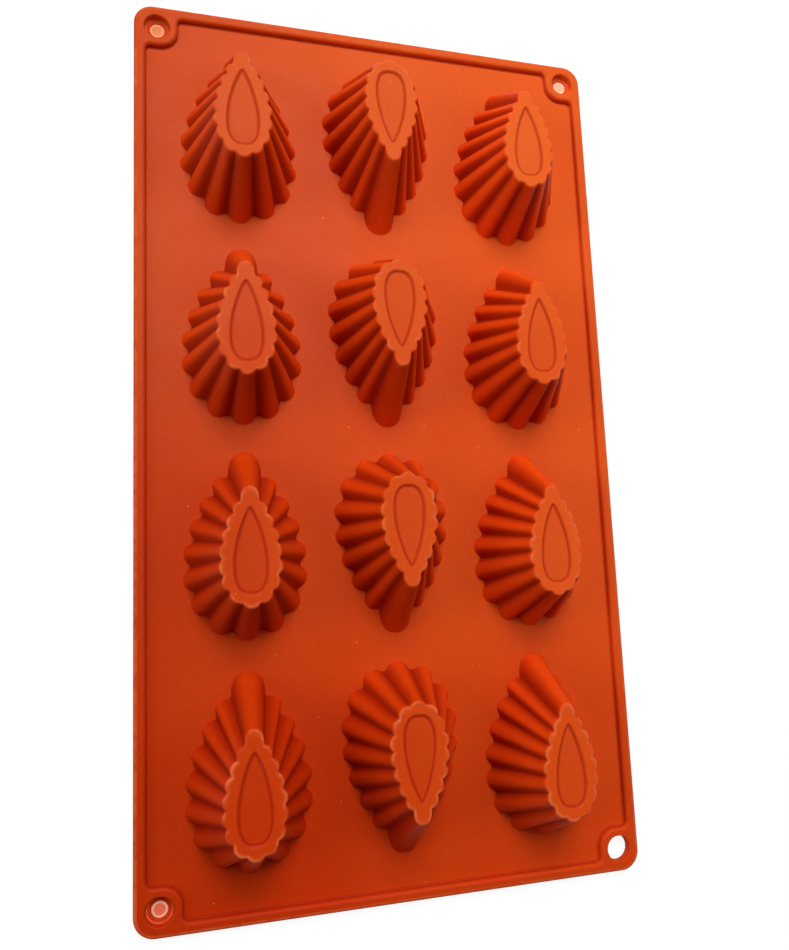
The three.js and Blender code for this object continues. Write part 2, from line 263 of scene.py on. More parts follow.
class TraySizes(bpy.types.PropertyGroup):
    """Sizes of the rim, pads, corner holes and discs"""

    corner_radius: length("Corner radius", "Radius of the tray's outer corners", 6.5)
    rim_round: length("Rim round", "Round along both edges of the rim bead", 1.1)
    under_round: length("Under round", "Round along the tray's lower edge", 0.5)
    web_fillet: length("Web fillet", "Fillet where the rim meets the web", 0.5)
    pad_round: length("Pad round", "Radius of the pads' inner corners", 6.0)
    pad_fillet: length("Pad fillet", "Radius where a pad runs into the rim", 1.9)
    hole_diameter: length("Hole diameter", "Diameter of the corner holes", 8.3)
    hole_round: length("Hole round", "Round along the rim of a corner hole", 0.45)
    ledge_width: length("Ledge width", "Width of the ledge in a closed corner hole", 0.65)
    ledge_round: length("Ledge round", "Rounds of the ledge in a closed corner hole", 0.18)
    disc_ring: length("Disc ring", "Width of the pale ring round a corner disc", 0.65)
    disc_ring_rise: length("Disc ring rise", "How far the pale ring stands above the disc", 0.1)
    rim_wear_and_highlight: number("Rim wear", "How far handling pales the rim's outer edge", 0.5)
    foot_shade: number("Foot shade", "How much of the crease colour the foot of the rim takes", 0.6)


class SiliconeLooks(bpy.types.PropertyGroup):
    """Colours and skin of the silicone"""

    # The far right colours carry painted light, which grows towards the right and the far side
    sheet: colour("Sheet", "Silicone of the tray, near left", (0.585, 0.034, 0.0016))
    sheet_far_lit: colour("Faded sheet", "Silicone of the tray, far right", (0.705, 0.099, 0.0110))
    wall: colour("Wall", "Silicone of the cups' walls, near left", (0.600, 0.033, 0.0004))
    wall_far_lit: colour("Faded wall", "Silicone of the cups' walls, far right", (0.930, 0.084, 0.0060))
    # Crown colours are lighter than the web's as painted light
    crown: colour("Crown", "Lighter crown silicone, near left", (0.659, 0.043, 0.0024))
    crown_far_lit: colour("Faded crown", "Lighter crown silicone, far right", (0.755, 0.112, 0.0115))
    panel: colour("Panel", "Floor panel silicone, near left", (0.603, 0.033, 0.0008))
    panel_far_lit: colour("Faded panel", "Floor panel silicone, far right", (0.725, 0.106, 0.0140))
    # Colour of the painted shade in creases, valleys and feet
    crease: colour("Crease", "Deep red of the valleys and the feet of the walls", (0.24, 0.003, 0.0003))
    # Colour of the painted shade in the floor panels' groove
    groove: colour("Groove", "Clear red of the groove round the floor panels", (0.36, 0.003, 0.0002))
    # Paler colour of edges that carry wear and painted highlight
    rubbed: colour("Rubbed edge", "Paler silicone along the handled crown edges", (0.80, 0.150, 0.045))
    well: colour("Well", "Thin silicone round a disc, near left", (0.62, 0.036, 0.003))
    well_far_lit: colour("Faded well", "Thin silicone round a disc, far right", (0.66, 0.070, 0.008))
    # The discs' colours carry painted light that shines through them from below
    disc_ring: colour("Disc ring", "Pale ring of the near left disc", (1.0, 0.52, 0.34))
    backlit_disc_centre: colour("Disc centre", "Middle of the near left disc", (1.0, 0.20, 0.11))
    backlit_amber_ring: colour("Amber disc ring", "Pale ring of the far left disc", (0.92, 0.37, 0.18))
    backlit_amber_centre: colour("Amber disc centre", "Middle of the far left disc", (0.92, 0.28, 0.115))
    backlit_thin_ring: colour("Thin disc ring", "Ring of the thinner far right disc", (0.98, 0.66, 0.48))
    backlit_thin_centre: colour("Thin disc centre", "Middle of the thinner far right disc", (0.93, 0.47, 0.27))
    dust: colour("Dust", "Specks that cling to the silicone", (0.86, 0.32, 0.11))
    roughness: number("Roughness", "Roughness of the satin skin", 0.46)
    grain: length("Grain", "Height of the fine grain of the skin", 0.012)


class StageSettings(bpy.types.PropertyGroup):
    """The camera and the lamps"""

    camera_place: FloatVectorProperty(
        name="Camera place", description="Where the camera stands", size=3, subtype="TRANSLATION",
        default=(-0.06470, -0.05329, 0.24737),
    )
    camera_aim: FloatVectorProperty(
        name="Camera aim", description="Point of the web in line with the lens", size=3,
        subtype="TRANSLATION", default=(-0.00043, -0.02163, 0.0015),
    )
    camera_heading: FloatProperty(
        name="Camera heading", description="Turn of the picture's upright from the tray's long side",
        default=math.radians(2.42), subtype="ANGLE",
    )
    lens: number("Lens", "Focal length in millimetres", 28.466)
    shift_x: number("Shift across", "Sideways shift of the picture", 0.0056)
    shift_y: number("Shift up", "Upward shift of the picture", 0.0293)
    lamp_distance: length("Lamp distance", "From the middle of the tray to each lamp", 1000)
    lamp_size: length("Lamp size", "Side of each square lamp", 500)
    lamp_level: number("Lamp level", "Strength of all the lamps together", 1.0)
    ambient: number("Ambient", "Strength of the light from all round", 0.01)


class Wire:
    """A value in a node tree. Arithmetic on it adds the Math nodes that work the result out."""

    def __init__(self, tree, socket):
        self.tree = tree
        self.socket = socket

    def math(self, operation, *others):
        return calculate(self.tree, operation, self, *others)

    def __add__(self, other):
        return calculate(self.tree, "ADD", self, other)

    def __sub__(self, other):
        return calculate(self.tree, "SUBTRACT", self, other)

    def __rsub__(self, other):
        return calculate(self.tree, "SUBTRACT", other, self)

    def __mul__(self, other):
        return calculate(self.tree, "MULTIPLY", self, other)

    def __truediv__(self, other):
        return calculate(self.tree, "DIVIDE", self, other)

    def __pow__(self, other):
        return calculate(self.tree, "POWER", self, other)

    def __lt__(self, other):
        return calculate(self.tree, "LESS_THAN", self, other)

    def __gt__(self, other):
        return calculate(self.tree, "GREATER_THAN", self, other)


def plug(tree, value, socket):
    """Links a wire to a socket, or sets a plain value on it."""
    if isinstance(value, Wire):
        tree.links.new(value.socket, socket)
    else:
        socket.default_value = value


def add_node(tree, kind, inputs=(), **settings):
    """Adds a node with its settings, and plugs its inputs, given by name or by number."""
    node = tree.nodes.new(kind)
    for name, value in settings.items():
        setattr(node, name, value)
    for name, value in dict(inputs).items():
        plug(tree, value, node.inputs[name])
    return node


def out(tree, node, name=0):
    """One output of a node as a wire, by name or by number."""
    return Wire(tree, node.outputs[name])


def wire(tree, kind, inputs=(), output=0, **settings):
    """Adds a node and returns one of its outputs."""
    return out(tree, add_node(tree, kind, inputs, **settings), output)


def calculate(tree, operation, *values):
    """The result of a Math node."""
    return wire(tree, "ShaderNodeMath", enumerate(values), operation=operation)


def vector_math(tree, operation, *values):
    """The result of a Vector Math node."""
    return wire(tree, "ShaderNodeVectorMath", enumerate(values), operation=operation)


def scaled(tree, vector, factor):
    """A vector times a number."""
    return wire(tree, "ShaderNodeVectorMath", {0: vector, "Scale": factor}, operation="SCALE")


def combine(tree, x, y, z=0.0):
    """A vector of three numbers."""
    return wire(tree, "ShaderNodeCombineXYZ", enumerate((x, y, z)))


def split(tree, vector):
    """The three numbers of a vector."""
    node = add_node(tree, "ShaderNodeSeparateXYZ", {0: vector})
    return [out(tree, node, i) for i in range(3)]


def noise(tree, place, scale, detail, roughness=0.5):
    """A pattern whose value varies about 0.5."""
    return wire(tree, "ShaderNodeTexNoise", {
        "Vector": place, "Scale": scale, "Detail": detail, "Roughness": roughness,
    })


def surface_place(tree):
    """Where a point of the surface lies, in the frame's axes."""
    return wire(tree, "ShaderNodeTexCoord", output="Object")


# Sockets of the Mix node for each kind of data: its two values and its result
MIX_SOCKETS = {"FLOAT": (2, 3, 0), "VECTOR": (4, 5, 1), "RGBA": (6, 7, 2)}


def mix(tree, kind, amount, first, second):
    """A mix of two values, which is the second where the amount is 1."""
    a, b, result = MIX_SOCKETS[kind]
    return wire(tree, "ShaderNodeMix", {0: amount, a: first, b: second}, result, data_type=kind)


def new_tree(name, kind, inputs, outputs):
    """A node group with named sockets. Returns it, its inputs as wires and its output node."""
    tree = bpy.data.node_groups.new(name, kind)
    sockets = {"INPUT": inputs, "OUTPUT": outputs}
    for direction, listed in sockets.items():
        for label, socket_type in listed:
            tree.interface.new_socket(name=label, in_out=direction, socket_type=socket_type)
    entry = tree.nodes.new("NodeGroupInput")
    wires = {label: out(tree, entry, label) for label, socket_type in inputs}
    return tree, wires, tree.nodes.new("NodeGroupOutput")


def add_group(tree, group, inputs):
    """Places a node group in a tree and returns its outputs by name."""
    kind = "ShaderNodeGroup" if tree.bl_idname == "ShaderNodeTree" else "GeometryNodeGroup"
    node = add_node(tree, kind, inputs, node_tree=group)
    return {socket.name: Wire(tree, socket) for socket in node.outputs}


NUMBER = "NodeSocketFloat"
VECTOR = "NodeSocketVector"
SHADE = "NodeSocketColor"
SHAPE = "NodeSocketGeometry"
FINISH = "NodeSocketMaterial"


# Finishes

def make_tone_group():
    """Silicone colour with painted light that grows unevenly towards the far right, with a fine mottle."""
    tree, given, result = new_tree(
        "Silicone tone", "ShaderNodeTree",
        [("Colour", SHADE), ("Faded", SHADE), ("Cloud Scale", NUMBER), ("Mottle Scale", NUMBER)],
        [("Colour", SHADE)],
    )
    place = surface_place(tree)
    cloud = noise(tree, place, given["Cloud Scale"], detail=2.0)
    mottle = noise(tree, place, given["Mottle Scale"], detail=3.0, roughness=0.6)
    x, y, z = split(tree, place)
    # Painted light: the colour moves to its far lit one towards the right and the far side
    painted_light_lean = x * PAINTED_LIGHT_ACROSS + y * PAINTED_LIGHT_ALONG + 0.5
    drift = (painted_light_lean + (cloud - 0.5) * CLOUD_SPREAD).math("MINIMUM", 1.0).math("MAXIMUM", 0.0)
    clouded = mix(tree, "RGBA", drift, given["Colour"], given["Faded"])
    # Painted light: the colour lightens to the right
    level = (mottle - 0.5) * MOTTLE_SPREAD + x * PAINTED_LIGHTNESS_ACROSS + 1.0
    toned = vector_math(tree, "MULTIPLY", clouded, combine(tree, level, level, level))
    plug(tree, toned, result.inputs["Colour"])
    return tree


def make_skin_group():
    """Height of the moulded skin: a fine grain on a faint waviness."""
    tree, given, result = new_tree(
        "Silicone skin", "ShaderNodeTree",
        [("Grain Scale", NUMBER), ("Wave Scale", NUMBER), ("Wave Share", NUMBER)],
        [("Height", NUMBER), ("Haze", NUMBER)],
    )
    place = surface_place(tree)
    grain = noise(tree, place, given["Grain Scale"], detail=2.0, roughness=0.55)
    wave = noise(tree, place, given["Wave Scale"], detail=1.0)
    plug(tree, grain + wave * given["Wave Share"], result.inputs["Height"])
    plug(tree, wave, result.inputs["Haze"])
    return tree


def make_dust_group():
    """Mask of sparse round specks that lie on the level faces."""
    tree, given, result = new_tree(
        "Dust specks", "ShaderNodeTree",
        [("Scale", NUMBER), ("Size", NUMBER), ("Sparseness", NUMBER)],
        [("Mask", NUMBER)],
    )
    x, y, z = split(tree, surface_place(tree))
    cells = add_node(
        tree, "ShaderNodeTexVoronoi", {"Vector": combine(tree, x, y), "Scale": given["Scale"]},
        voronoi_dimensions="2D",
    )
    red, green, blue = split(tree, out(tree, cells, "Color"))
    radius = given["Size"] * (green * (1 - SMALLEST_SPECK) + SMALLEST_SPECK)
    speck = 1.0 - (out(tree, cells, "Distance") / (radius * given["Scale"])).math("MINIMUM", 1.0)
    kept = red > given["Sparseness"]
    upright = split(tree, wire(tree, "ShaderNodeNewGeometry", output="Normal"))[2] > DUST_UPRIGHT
    plug(tree, speck.math("SQRT") * kept * upright, result.inputs["Mask"])
    return tree


def make_wear_and_highlight_group():
    """Mask of the uneven stretches that wear and painted highlight make paler."""
    tree, given, result = new_tree(
        "Wear", "ShaderNodeTree", [("Scale", NUMBER), ("Share", NUMBER)], [("Mask", NUMBER)],
    )
    place = surface_place(tree)
    patches = noise(tree, place, given["Scale"], detail=3.0)
    # Wear and painted highlight grow towards the near side
    along = split(tree, place)[1] * WEAR_AND_HIGHLIGHT_ALONG
    mask = (patches - 0.5) * WEAR_AND_HIGHLIGHT_SPREAD + along + given["Share"]
    plug(tree, mask.math("MAXIMUM", LEAST_WEAR_AND_HIGHLIGHT).math("MINIMUM", 1.0), result.inputs["Mask"])
    return tree


SHADER_GROUPS = {
    "Wear": make_wear_and_highlight_group,
    "Silicone tone": make_tone_group,
    "Silicone skin": make_skin_group,
    "Dust specks": make_dust_group,
}


def shader_group(tree, name, inputs):
    """Places a shared shader group, which is made the first time it is needed."""
    group = bpy.data.node_groups.get(name) or SHADER_GROUPS[name]()
    return add_group(tree, group, inputs)


def surface_mark(tree, name):
    """The value that a surface carries under a name, or 0 where it has none."""
    return wire(tree, "ShaderNodeAttribute", output="Fac", attribute_name=name)


def tone(tree, base, far_lit):
    """Colour of a silicone surface, which fades from one colour to another."""
    return shader_group(tree, "Silicone tone", {
        "Colour": (*base, 1), "Faded": (*far_lit, 1),
        "Cloud Scale": CLOUD_SCALE, "Mottle Scale": MOTTLE_SCALE,
    })["Colour"]


def silicone(name, base, far_lit, roughness, dusty=True, grooved=False, lit_crown=None, wear_and_highlight_share=None):
    """Satin silicone with painted shade in its creases. It may have crowns with painted light, and edges
    that wear and painted highlight pale.
    """
    looks = bpy.context.scene.mould_looks
    material = bpy.data.materials.new(name)
    material.use_nodes = True
    material.diffuse_color = (*base, 1)
    tree = material.node_tree
    shader = tree.nodes["Principled BSDF"]
    shader.inputs["IOR"].default_value = SILICONE_IOR
    shader.inputs["Specular IOR Level"].default_value = SILICONE_SPECULAR

    toned = tone(tree, base, far_lit)
    skin = shader_group(tree, "Silicone skin", {
        "Grain Scale": GRAIN_SCALE, "Wave Scale": WAVE_SCALE, "Wave Share": WAVE_SHARE,
    })
    matt = (skin["Haze"] - 0.5) * HAZE_SPREAD + roughness
    # Painted light: the crowns are lighter than the web and the walls
    if lit_crown:
        toned = mix(tree, "RGBA", surface_mark(tree, "crown"), toned, tone(tree, *lit_crown))
    # Wear with painted highlight pales the marked edges
    if wear_and_highlight_share:
        wear_and_highlight_patches = shader_group(tree, "Wear", {"Scale": WEAR_AND_HIGHLIGHT_SCALE, "Share": wear_and_highlight_share})["Mask"]
        rub = surface_mark(tree, "rub") * wear_and_highlight_patches
        toned = mix(tree, "RGBA", rub, toned, (*looks.rubbed, 1))
        matt = matt + rub * WEAR_AND_HIGHLIGHT_ROUGHNESS
    # Painted shade: creases, valleys and feet take a deep red
    crease = surface_mark(tree, "crease") * PAINTED_SHADE_SHARE
    toned = mix(tree, "RGBA", crease, toned, (*looks.crease, 1))
    # Painted shade along the floor panel's groove
    if grooved:
        toned = mix(tree, "RGBA", surface_mark(tree, "groove"), toned, (*looks.groove, 1))
    if dusty:
        specks = shader_group(tree, "Dust specks", {
            "Scale": DUST_SCALE, "Size": DUST_SIZE, "Sparseness": DUST_SPARSENESS,
        })["Mask"]
        toned = mix(tree, "RGBA", specks, toned, (*looks.dust, 1))
        matt = matt + specks * DUST_ROUGHNESS
    plug(tree, toned, shader.inputs["Base Color"])
    plug(tree, matt, shader.inputs["Roughness"])
    bump = wire(tree, "ShaderNodeBump", {
        "Height": skin["Height"], "Strength": GRAIN_STRENGTH, "Distance": looks.grain,
    })
    plug(tree, bump, shader.inputs["Normal"])
    return material


def disc_silicone(name, centre, ring):
    """Thin salmon silicone brightened with painted light that shines through it, paler on the ring that the
    ring attribute marks.
    """
    material = silicone(name, centre, centre, DISC_ROUGHNESS, dusty=False)
    tree = material.node_tree
    shade = tree.nodes["Principled BSDF"].inputs["Base Color"]
    toned = Wire(tree, shade.links[0].from_socket)
    plug(tree, mix(tree, "RGBA", surface_mark(tree, "ring"), toned, (*ring, 1)), shade)
    return material


def finish(name):
    """The finish of that name, made the first time a piece needs it."""
    made = bpy.data.materials.get(name)
    if made:
        return made
    looks = bpy.context.scene.mould_looks
    satin = looks.roughness
    if name == "tray silicone":
        return silicone(name, looks.sheet, looks.sheet_far_lit, satin, wear_and_highlight_share=TRAY_WEAR_AND_HIGHLIGHT)
    if name == "cup silicone":
        lit_crown = (looks.crown, looks.crown_far_lit)
        return silicone(
            name, looks.wall, looks.wall_far_lit, satin, grooved=True, lit_crown=lit_crown, wear_and_highlight_share=CUP_WEAR_AND_HIGHLIGHT
        )
    if name == "panel silicone":
        roughness = satin + PANEL_ROUGHNESS
        return silicone(name, looks.panel, looks.panel_far_lit, roughness, grooved=True)
    if name == "well silicone":
        return silicone(name, looks.well, looks.well_far_lit, satin, dusty=False)
    # Each disc is brightened with its own painted light from below
    discs = {
        "disc silicone near left": (looks.backlit_disc_centre, looks.disc_ring),
        "disc silicone far left": (looks.backlit_amber_centre, looks.backlit_amber_ring),
        "disc silicone far right": (looks.backlit_thin_centre, looks.backlit_thin_ring),
    }
    return disc_silicone(name, *discs[name])


# Cups

TEARDROP_SIZES = ("Tip", "Round", "Half Width", "Taper", "End")
OUTLINE_SIZES = ("Tip", "Round", "Half Width", "Flute Depth", "Tip Flute Width", "Valley Softness")
FLUTE_RULES = ("Taper", "End", "Side Flutes", "Growth", "Tip Power")
# The sweep takes an outline's sizes once for each of these levels
OUTLINES = ("Base", "Crown")


def number_sockets(*names):
    """Number sockets of those names."""
    return [(name, NUMBER) for name in names]


def make_teardrop_tree():
    """Group: a smooth teardrop's +X side, from its tip on +Y down to its round end."""
    tree, given, result = new_tree(
        "Teardrop side", "GeometryNodeTree", number_sockets(*TEARDROP_SIZES), [("Curve", SHAPE)],
    )
    taper = given["Taper"]
    end = given["End"]

    def swell(angle):
        return angle.math("SINE").math("MAXIMUM", 0.0) ** end * (angle * 0.5).math("SINE") ** taper

    turn = wire(tree, "GeometryNodeInputIndex") * (math.pi / TEARDROP_STEPS)
    widest = swell((taper / (end * 2.0 + taper) * -1.0).math("ARCCOSINE"))
    x = given["Half Width"] * swell(turn) / widest
    middle = (given["Tip"] - given["Round"]) * 0.5
    y = middle + (given["Tip"] + given["Round"]) * 0.5 * turn.math("COSINE")
    line = wire(tree, "GeometryNodeCurvePrimitiveLine")
    points = wire(tree, "GeometryNodeResampleCurve", {"Curve": line, "Count": TEARDROP_STEPS + 1})
    place = combine(tree, x, y)
    shaped = wire(tree, "GeometryNodeSetPosition", {"Geometry": points, "Position": place})
    plug(tree, shaped, result.inputs["Curve"])
    return tree


def outward(tree, tangent):
    """Outward normal of a side that runs down from its tip, from its tangent."""
    x, y, z = split(tree, tangent)
    return combine(tree, y * -1.0, x)


def make_flute_tree(teardrop):
    """Group: place and outward normal on the fluted outline at a count of flutes from the tip.

    The count runs from -0.5 at the tip's crest through 0 at the tip flute's edge to the middle
    of the round-end flute. The valleys lie on the teardrop set in by the flute depth.
    """
    tree, given, result = new_tree(
        "Fluted outline", "GeometryNodeTree", number_sockets("Flute", *OUTLINE_SIZES, *FLUTE_RULES),
        [("Place", VECTOR), ("Normal", VECTOR)],
    )
    depth = given["Flute Depth"]
    crest = add_group(tree, teardrop, {size: given[size] for size in TEARDROP_SIZES})["Curve"]
    crest_normal = outward(tree, wire(tree, "GeometryNodeInputTangent"))
    valley = wire(tree, "GeometryNodeSetPosition", {
        "Geometry": crest, "Offset": scaled(tree, crest_normal, depth * -1.0),
    })
    x, y, z = split(tree, wire(tree, "GeometryNodeInputPosition"))
    index = wire(tree, "GeometryNodeInputIndex")
    under_tip_flute = (x < given["Tip Flute Width"] * 0.5) * (index < TEARDROP_STEPS / 2)
    trimmed = wire(tree, "GeometryNodeDeleteGeometry", {
        "Geometry": valley, "Selection": under_tip_flute,
    })

    # Distance along the valleys, as a share of the whole: each flute is wider than the last
    def walked(count):
        whole = count.math("FLOOR")
        growth = given["Growth"] * whole
        return whole + growth * (whole - 1.0) * 0.5 + (count - whole) * (growth + 1.0)

    flute = given["Flute"].math("MAXIMUM", 0.0)
    part = walked(flute) / walked(given["Side Flutes"] + 0.5)
    at = add_node(tree, "GeometryNodeSampleCurve", {"Curves": trimmed, "Factor": part})
    start = add_node(tree, "GeometryNodeSampleCurve", {"Curves": trimmed, "Factor": 0.0})
    normal = outward(tree, out(tree, at, "Tangent"))

    # Each lobe lies between a parabola, with sharp valleys, and a finger with round ones
    across = (flute - flute.math("FLOOR")) * 2.0 - 1.0
    rise = 1.0 - across.math("ABSOLUTE")
    parabola = rise * (2.0 - rise)
    finger = 0.5 - (parabola ** FINGER_POWER * math.pi).math("COSINE") * 0.5
    bulge = depth * mix(tree, "FLOAT", given["Valley Softness"], parabola, finger)
    side_place = vector_math(tree, "ADD", out(tree, at, "Position"), scaled(tree, normal, bulge))

    # The tip flute is half a squared ellipse that starts from the first valley
    first_x, first_y, first_z = split(tree, out(tree, start, "Position"))
    tip_part = (given["Flute"] + 0.5) * 2.0
    turn = tip_part * (math.pi / 2)
    bend = (given["Tip Power"] * 0.5) ** -1.0
    tip_x = first_x * turn.math("SINE").math("MAXIMUM", 0.0) ** bend
    tip_y = first_y + (given["Tip"] - first_y) * turn.math("COSINE").math("MAXIMUM", 0.0) ** bend
    tip_place = combine(tree, tip_x, tip_y)
    first_normal = outward(tree, out(tree, start, "Tangent"))
    tip_normal = vector_math(
        tree, "NORMALIZE", mix(tree, "VECTOR", tip_part, (0.0, 1.0, 0.0), first_normal)
    )

    on_side = given["Flute"] > FIRST_SIDE_FLUTE
    plug(tree, mix(tree, "VECTOR", on_side, tip_place, side_place), result.inputs["Place"])
    plug(tree, mix(tree, "VECTOR", on_side, tip_normal, normal), result.inputs["Normal"])
    return tree


def point_mark(tree, name):
    """The value that a mesh's point carries under a name."""
    return wire(tree, "GeometryNodeInputNamedAttribute", {"Name": name}, "Attribute")


def make_sweep_tree():
    """Sweeps a profile round a cup. A profile point's X is its offset along the outline's normal,
    Z its height, and Y its ring: 0 on the fluted wall, 1 on the floor panel's edge, 2 at the middle.
    """
    sizes = [f"{outline} {size}" for outline in OUTLINES for size in OUTLINE_SIZES]
    sizes += [f"Panel {size}" for size in TEARDROP_SIZES]
    tree, given, result = new_tree(
        "Fluted sweep", "GeometryNodeTree",
        [
            ("Profile", SHAPE), ("Middle", VECTOR),
            *number_sockets("Facing", "Flute Steps", "Foot Level", "Crown Level", "Crease Width"),
            ("Wall Finish", FINISH), ("Collar Finish", FINISH), *number_sockets(*sizes, *FLUTE_RULES),
        ],
        [("Mesh", SHAPE)],
    )
    teardrop = make_teardrop_tree()
    flutes = make_flute_tree(teardrop)

    # The sweep's own mesh: a ring of steps by the profile's rows
    half_count = (given["Side Flutes"] + 1.0) * given["Flute Steps"]
    ring = wire(tree, "GeometryNodeCurvePrimitiveCircle", {"Resolution": half_count * 2.0})
    numbered = wire(tree, "GeometryNodeStoreNamedAttribute", {
        "Geometry": ring, "Name": "step", "Value": wire(tree, "GeometryNodeInputIndex"),
    })
    keep = tree.nodes.new("GeometryNodeCaptureAttribute")
    keep.capture_items.new("VECTOR", "Row")
    plug(tree, given["Profile"], keep.inputs["Geometry"])
    plug(tree, wire(tree, "GeometryNodeInputPosition"), keep.inputs["Row"])
    rows = wire(tree, "GeometryNodeMeshToCurve", {"Mesh": out(tree, keep, "Geometry")})
    swept = wire(tree, "GeometryNodeCurveToMesh", {"Curve": numbered, "Profile Curve": rows})

    # Steps run from the tip down the -X side and back up the +X side, closer in the valleys
    step = point_mark(tree, "step")
    returning = step > half_count
    from_tip = step + returning * (half_count - step) * 2.0
    side = returning * 2.0 - 1.0
    off_middle = (step > 0.5) * ((step - half_count).math("ABSOLUTE") > 0.5)
    even = from_tip / given["Flute Steps"] - 0.5
    flute = even - ((even * math.tau).math("SINE") * (even > 0.0)) * (VALLEY_CROWDING / math.tau)

    # The wall's painted shade is deepest along the valleys, which lie at whole counts of flutes
    from_valley = (flute - flute.math("ROUND")).math("ABSOLUTE") * 2.0
    valley = (1.0 - from_valley / given["Crease Width"]).math("MAXIMUM", 0.0)
    crease = point_mark(tree, "crease").math("MAXIMUM", point_mark(tree, "wall") * valley)

    outlines = {}
    for outline in OUTLINES:
        taken = {size: given[f"{outline} {size}"] for size in OUTLINE_SIZES}
        taken.update({rule: given[rule] for rule in FLUTE_RULES})
        outlines[outline] = add_group(tree, flutes, {"Flute": flute, **taken})
    offset, level, height = split(tree, out(tree, keep, "Row"))
    rise = (height - given["Foot Level"]) / (given["Crown Level"] - given["Foot Level"])
    rise = rise.math("MAXIMUM", 0.0).math("MINIMUM", 1.0)
    base, crown = outlines["Base"], outlines["Crown"]
    place = mix(tree, "VECTOR", rise, base["Place"], crown["Place"])
    normal = mix(tree, "VECTOR", rise, base["Normal"], crown["Normal"])

    panel_sizes = {size: given[f"Panel {size}"] for size in TEARDROP_SIZES}
    panel = add_group(tree, teardrop, panel_sizes)["Curve"]
    part = (even + 0.5) / (given["Side Flutes"] + 1.0)
    edge = add_node(tree, "GeometryNodeSampleCurve", {"Curves": panel, "Factor": part})
    to_panel = level.math("MINIMUM", 1.0)
    place = mix(tree, "VECTOR", to_panel, place, out(tree, edge, "Position"))
    normal = mix(tree, "VECTOR", to_panel, normal, outward(tree, out(tree, edge, "Tangent")))
    panel_middle = combine(tree, 0.0, (given["Panel Tip"] - given["Panel Round"]) * 0.5)
    place = mix(tree, "VECTOR", (level - 1.0).math("MAXIMUM", 0.0), place, panel_middle)

    x, y, z = split(tree, place)
    across, along, up = split(tree, vector_math(tree, "NORMALIZE", normal))
    x = (x + across * offset).math("MAXIMUM", 0.0) * side * off_middle * given["Facing"]
    y = (y + along * offset) * given["Facing"]
    spot = vector_math(tree, "ADD", combine(tree, x, y, height), given["Middle"])
    shaped = wire(tree, "GeometryNodeSetPosition", {"Geometry": swept, "Position": spot})
    closed = wire(tree, "GeometryNodeMergeByDistance", {"Geometry": shaped, "Distance": SAME_POINT})
    smooth = wire(tree, "GeometryNodeSetShadeSmooth", {"Geometry": closed})
    # Painted shade of the creases and of the valleys between the flutes
    creased = wire(tree, "GeometryNodeStoreNamedAttribute", {
        "Geometry": smooth, "Name": "crease", "Value": crease,
    })
    real = wire(tree, "GeometryNodeRealizeInstances", {"Geometry": creased})
    walls = wire(tree, "GeometryNodeSetMaterial", {"Geometry": real, "Material": given["Wall Finish"]})
    dressed = wire(tree, "GeometryNodeSetMaterial", {
        "Geometry": walls, "Selection": point_mark(tree, "collar") > ALL_MARKED,
        "Material": given["Collar Finish"],
    })
    plug(tree, dressed, result.inputs["Mesh"])
    return tree


def sweep_values(cup):
    """The sweep's size inputs by name, from the cup sizes."""
    values = {
        "Flute Steps": cup.flute_steps, "Side Flutes": cup.side_flutes, "Growth": cup.flute_growth,
        "Taper": cup.cup_taper, "End": cup.cup_end, "Tip Power": cup.tip_power,
        "Foot Level": WEB_TOP, "Crown Level": CROWN_TOP, "Crease Width": cup.crease_width,
        "Panel Tip": cup.crown_tip - cup.panel_tip_border,
        "Panel Round": cup.crown_round - cup.panel_round_border,
        "Panel Half Width": cup.crown_half_width - cup.panel_side_border,
        "Panel Taper": cup.panel_taper,
        "Panel End": cup.panel_end,
    }
    for outline in OUTLINES:
        for size in OUTLINE_SIZES:
            name = f"{outline} {size}"
            values[name] = getattr(cup, name.lower().replace(" ", "_"))
    return values


def set_inputs(modifier, values):
    """Sets a node modifier's inputs, given by their names: numbers, vectors and materials."""
    for item in modifier.node_group.interface.items_tree:
        if item.in_out == "INPUT" and item.name in values:
            value = values[item.name]
            if isinstance(value, Vector):
                value = tuple(value)
            elif not isinstance(value, bpy.types.ID):
                value = float(value)
            modifier[item.identifier] = value


class Profile:
    """Rows of a sweep, each with its offset, ring and height, and the marks that it carries."""

    # Worn edge with painted highlight, crown with painted light, fluted wall, painted shade of creases,
    # painted shade of the panel groove, strip of web and its edge
    MARKS = ("rub", "crown", "wall", "crease", "groove", "collar", "seam")

    def __init__(self):
        self.points = []
        self.marks = []

    def add(self, *rows, ring=WALL_RING, **marks):
        for offset, height in rows:
            self.points.append((offset, ring, height))
            self.marks.append(marks)

    def cross(self, start, end, height, rows, **marks):
        """Level rows between two (offset, ring) pairs, both left out."""
        for i in range(1, rows + 1):
            part = i / (rows + 1)
            offset, ring = (a + (b - a) * part for a, b in zip(start, end))
            self.add((offset, height), ring=ring, **marks)

    def mesh(self, title, closed):
        count = len(self.points)
        edges = [(i, i + 1) for i in range(count - 1)]
        if closed:
            edges.append((count - 1, 0))
        mesh = bpy.data.meshes.new(title)
        mesh.from_pydata(self.points, edges, [])
        for name in self.MARKS:
            values = mesh.attributes.new(name, "FLOAT", "POINT").data
            for i, marks in enumerate(self.marks):
                values[i].value = marks.get(name, 0.0)
        return mesh


def rounded(centre, radius, start, end, steps):
    """Points along a round between two angles in degrees."""
    points = []
    for i in range(steps + 1):
        angle = math.radians(start + (end - start) * i / steps)
        points.append((centre[0] + radius * math.cos(angle), centre[1] + radius * math.sin(angle)))
    return points


def between(start, end, rows):
    """Points of a straight run between two points, both left out."""
    return [
        tuple(a + (b - a) * i / (rows + 1) for a, b in zip(start, end)) for i in range(1, rows + 1)
    ]


